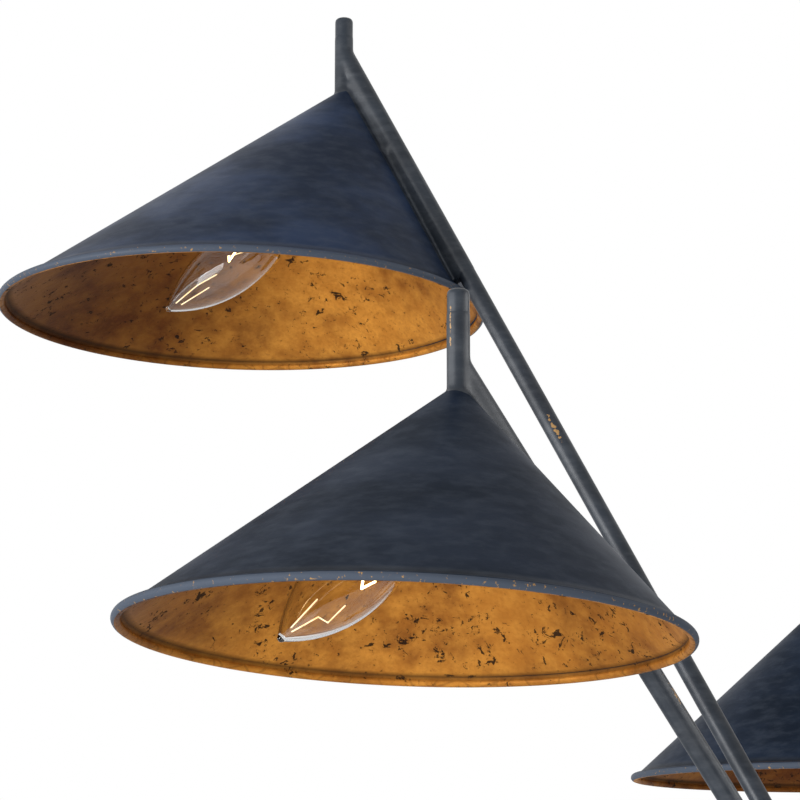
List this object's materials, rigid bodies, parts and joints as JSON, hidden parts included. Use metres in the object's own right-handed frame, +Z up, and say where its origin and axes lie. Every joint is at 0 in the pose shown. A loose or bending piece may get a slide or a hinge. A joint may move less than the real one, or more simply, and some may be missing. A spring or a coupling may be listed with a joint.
{
  "type": "chandelier",
  "caption": "Bouquet chandelier: slanted cone shades with gilded insides on straight arms that rise from a low ball hub, candle bulbs under the shades, swivel stem and ceiling canopy.",
  "frame": {"origin": "middle between the ceiling slots, on the ceiling plane", "axes": "+Z up to the ceiling; the two ceiling slots lie along X; the picture looks along +Y"},
  "size_m": [0.951, 0.9841, 1.0509],
  "materials": {
    "patina": "satin blue-black patina, rubbed at the edges",
    "shade_patina": "satin blue-black patina outside, gold leaf with dark flecks inside",
    "gilding": "aged gold leaf",
    "brass": "plain brass",
    "zinc_steel": "zinc plated",
    "green_screw": "green passivated",
    "holder_black": "moulded phenolic",
    "bulb_glass": "clear"
  },
  "bodies": {
    "ceiling": {"crossbar": "zinc_steel", "ground_screw": "green_screw", "ceiling_nipple": "zinc_steel", "nipple_nuts": "zinc_steel", "swivel_cap": "patina", "swivel_housing": "patina"},
    "canopy": {"canopy": "patina", "canopy_ring": "patina"},
    "swivel": {"swivel_yoke": "patina", "knuckle_pin": "zinc_steel"},
    "frame": {"stem_knuckle": "patina", "stem": "patina", "coupler": "patina", "column": "patina", "hub": "patina", "hub_set_screws": "zinc_steel", "hub_cover": "patina", "finial": "gilding", "holder_nipples": "brass", "holder_caps": "brass", "lower_arm_1": "patina", "lower_post_1": "patina", "lower_shade_1": "shade_patina", "lower_lamp_holder_1": "holder_black", "lower_arm_2": "patina", "lower_post_2": "patina", "lower_shade_2": "shade_patina", "lower_lamp_holder_2": "holder_black", "lower_arm_3": "patina", "lower_post_3": "patina", "lower_shade_3": "shade_patina", "lower_lamp_holder_3": "holder_black", "upper_arm_1": "patina", "upper_post_1": "patina", "upper_shade_1": "shade_patina", "upper_lamp_holder_1": "holder_black", "upper_arm_2": "patina", "upper_post_2": "patina", "upper_shade_2": "shade_patina", "upper_lamp_holder_2": "holder_black", "upper_arm_3": "patina", "upper_post_3": "patina", "upper_shade_3": "shade_patina", "upper_lamp_holder_3": "holder_black"},
    "lower_bulb_1": {"lower_bulb_base_1": "brass", "lower_bulb_glass_1": "bulb_glass"},
    "lower_bulb_2": {"lower_bulb_base_2": "brass", "lower_bulb_glass_2": "bulb_glass"},
    "lower_bulb_3": {"lower_bulb_base_3": "brass", "lower_bulb_glass_3": "bulb_glass"},
    "upper_bulb_1": {"upper_bulb_base_1": "brass", "upper_bulb_glass_1": "bulb_glass"},
    "upper_bulb_2": {"upper_bulb_base_2": "brass", "upper_bulb_glass_2": "bulb_glass"},
    "upper_bulb_3": {"upper_bulb_base_3": "brass", "upper_bulb_glass_3": "bulb_glass"}
  },
  "joints": [
    {"name": "canopy_drop", "type": "slide", "parent": "ceiling", "child": "canopy", "axis": [0, 0, -1], "range_m": [0, 0.029]},
    {"name": "swivel_turn", "type": "hinge", "parent": "ceiling", "child": "swivel", "pos_m": [0, 0, -0.0866], "axis": [0, 0, 1], "range_deg": [-150, 150]},
    {"name": "frame_tilt", "type": "hinge", "parent": "swivel", "child": "frame", "pos_m": [0, 0, -0.0866], "axis": [1, 0, 0], "range_deg": [-30, 30]},
    {"name": "lower_bulb_1_turn", "type": "hinge", "parent": "frame", "child": "lower_bulb_1", "pos_m": [-0.02947, 0.33687, -0.68707], "axis": [-0.0671, 0.7668, -0.6384], "range_deg": [0, 1080]},
    {"name": "lower_bulb_2_turn", "type": "hinge", "parent": "frame", "child": "lower_bulb_2", "pos_m": [-0.27701, -0.19396, -0.68707], "axis": [-0.6305, -0.4415, -0.6384], "range_deg": [0, 1080]},
    {"name": "lower_bulb_3_turn", "type": "hinge", "parent": "frame", "child": "lower_bulb_3", "pos_m": [0.30648, -0.14291, -0.68707], "axis": [0.6976, -0.3253, -0.6384], "range_deg": [0, 1080]},
    {"name": "upper_bulb_1_turn", "type": "hinge", "parent": "frame", "child": "upper_bulb_1", "pos_m": [-0.3426, 0.15976, -0.4563], "axis": [-0.7956, 0.371, -0.479], "range_deg": [0, 1080]},
    {"name": "upper_bulb_2_turn", "type": "hinge", "parent": "frame", "child": "upper_bulb_2", "pos_m": [0.03295, -0.37658, -0.4563], "axis": [0.0765, -0.8745, -0.479], "range_deg": [0, 1080]},
    {"name": "upper_bulb_3_turn", "type": "hinge", "parent": "frame", "child": "upper_bulb_3", "pos_m": [0.30965, 0.21682, -0.4563], "axis": [0.7191, 0.5035, -0.479], "range_deg": [0, 1080]}
  ]
}
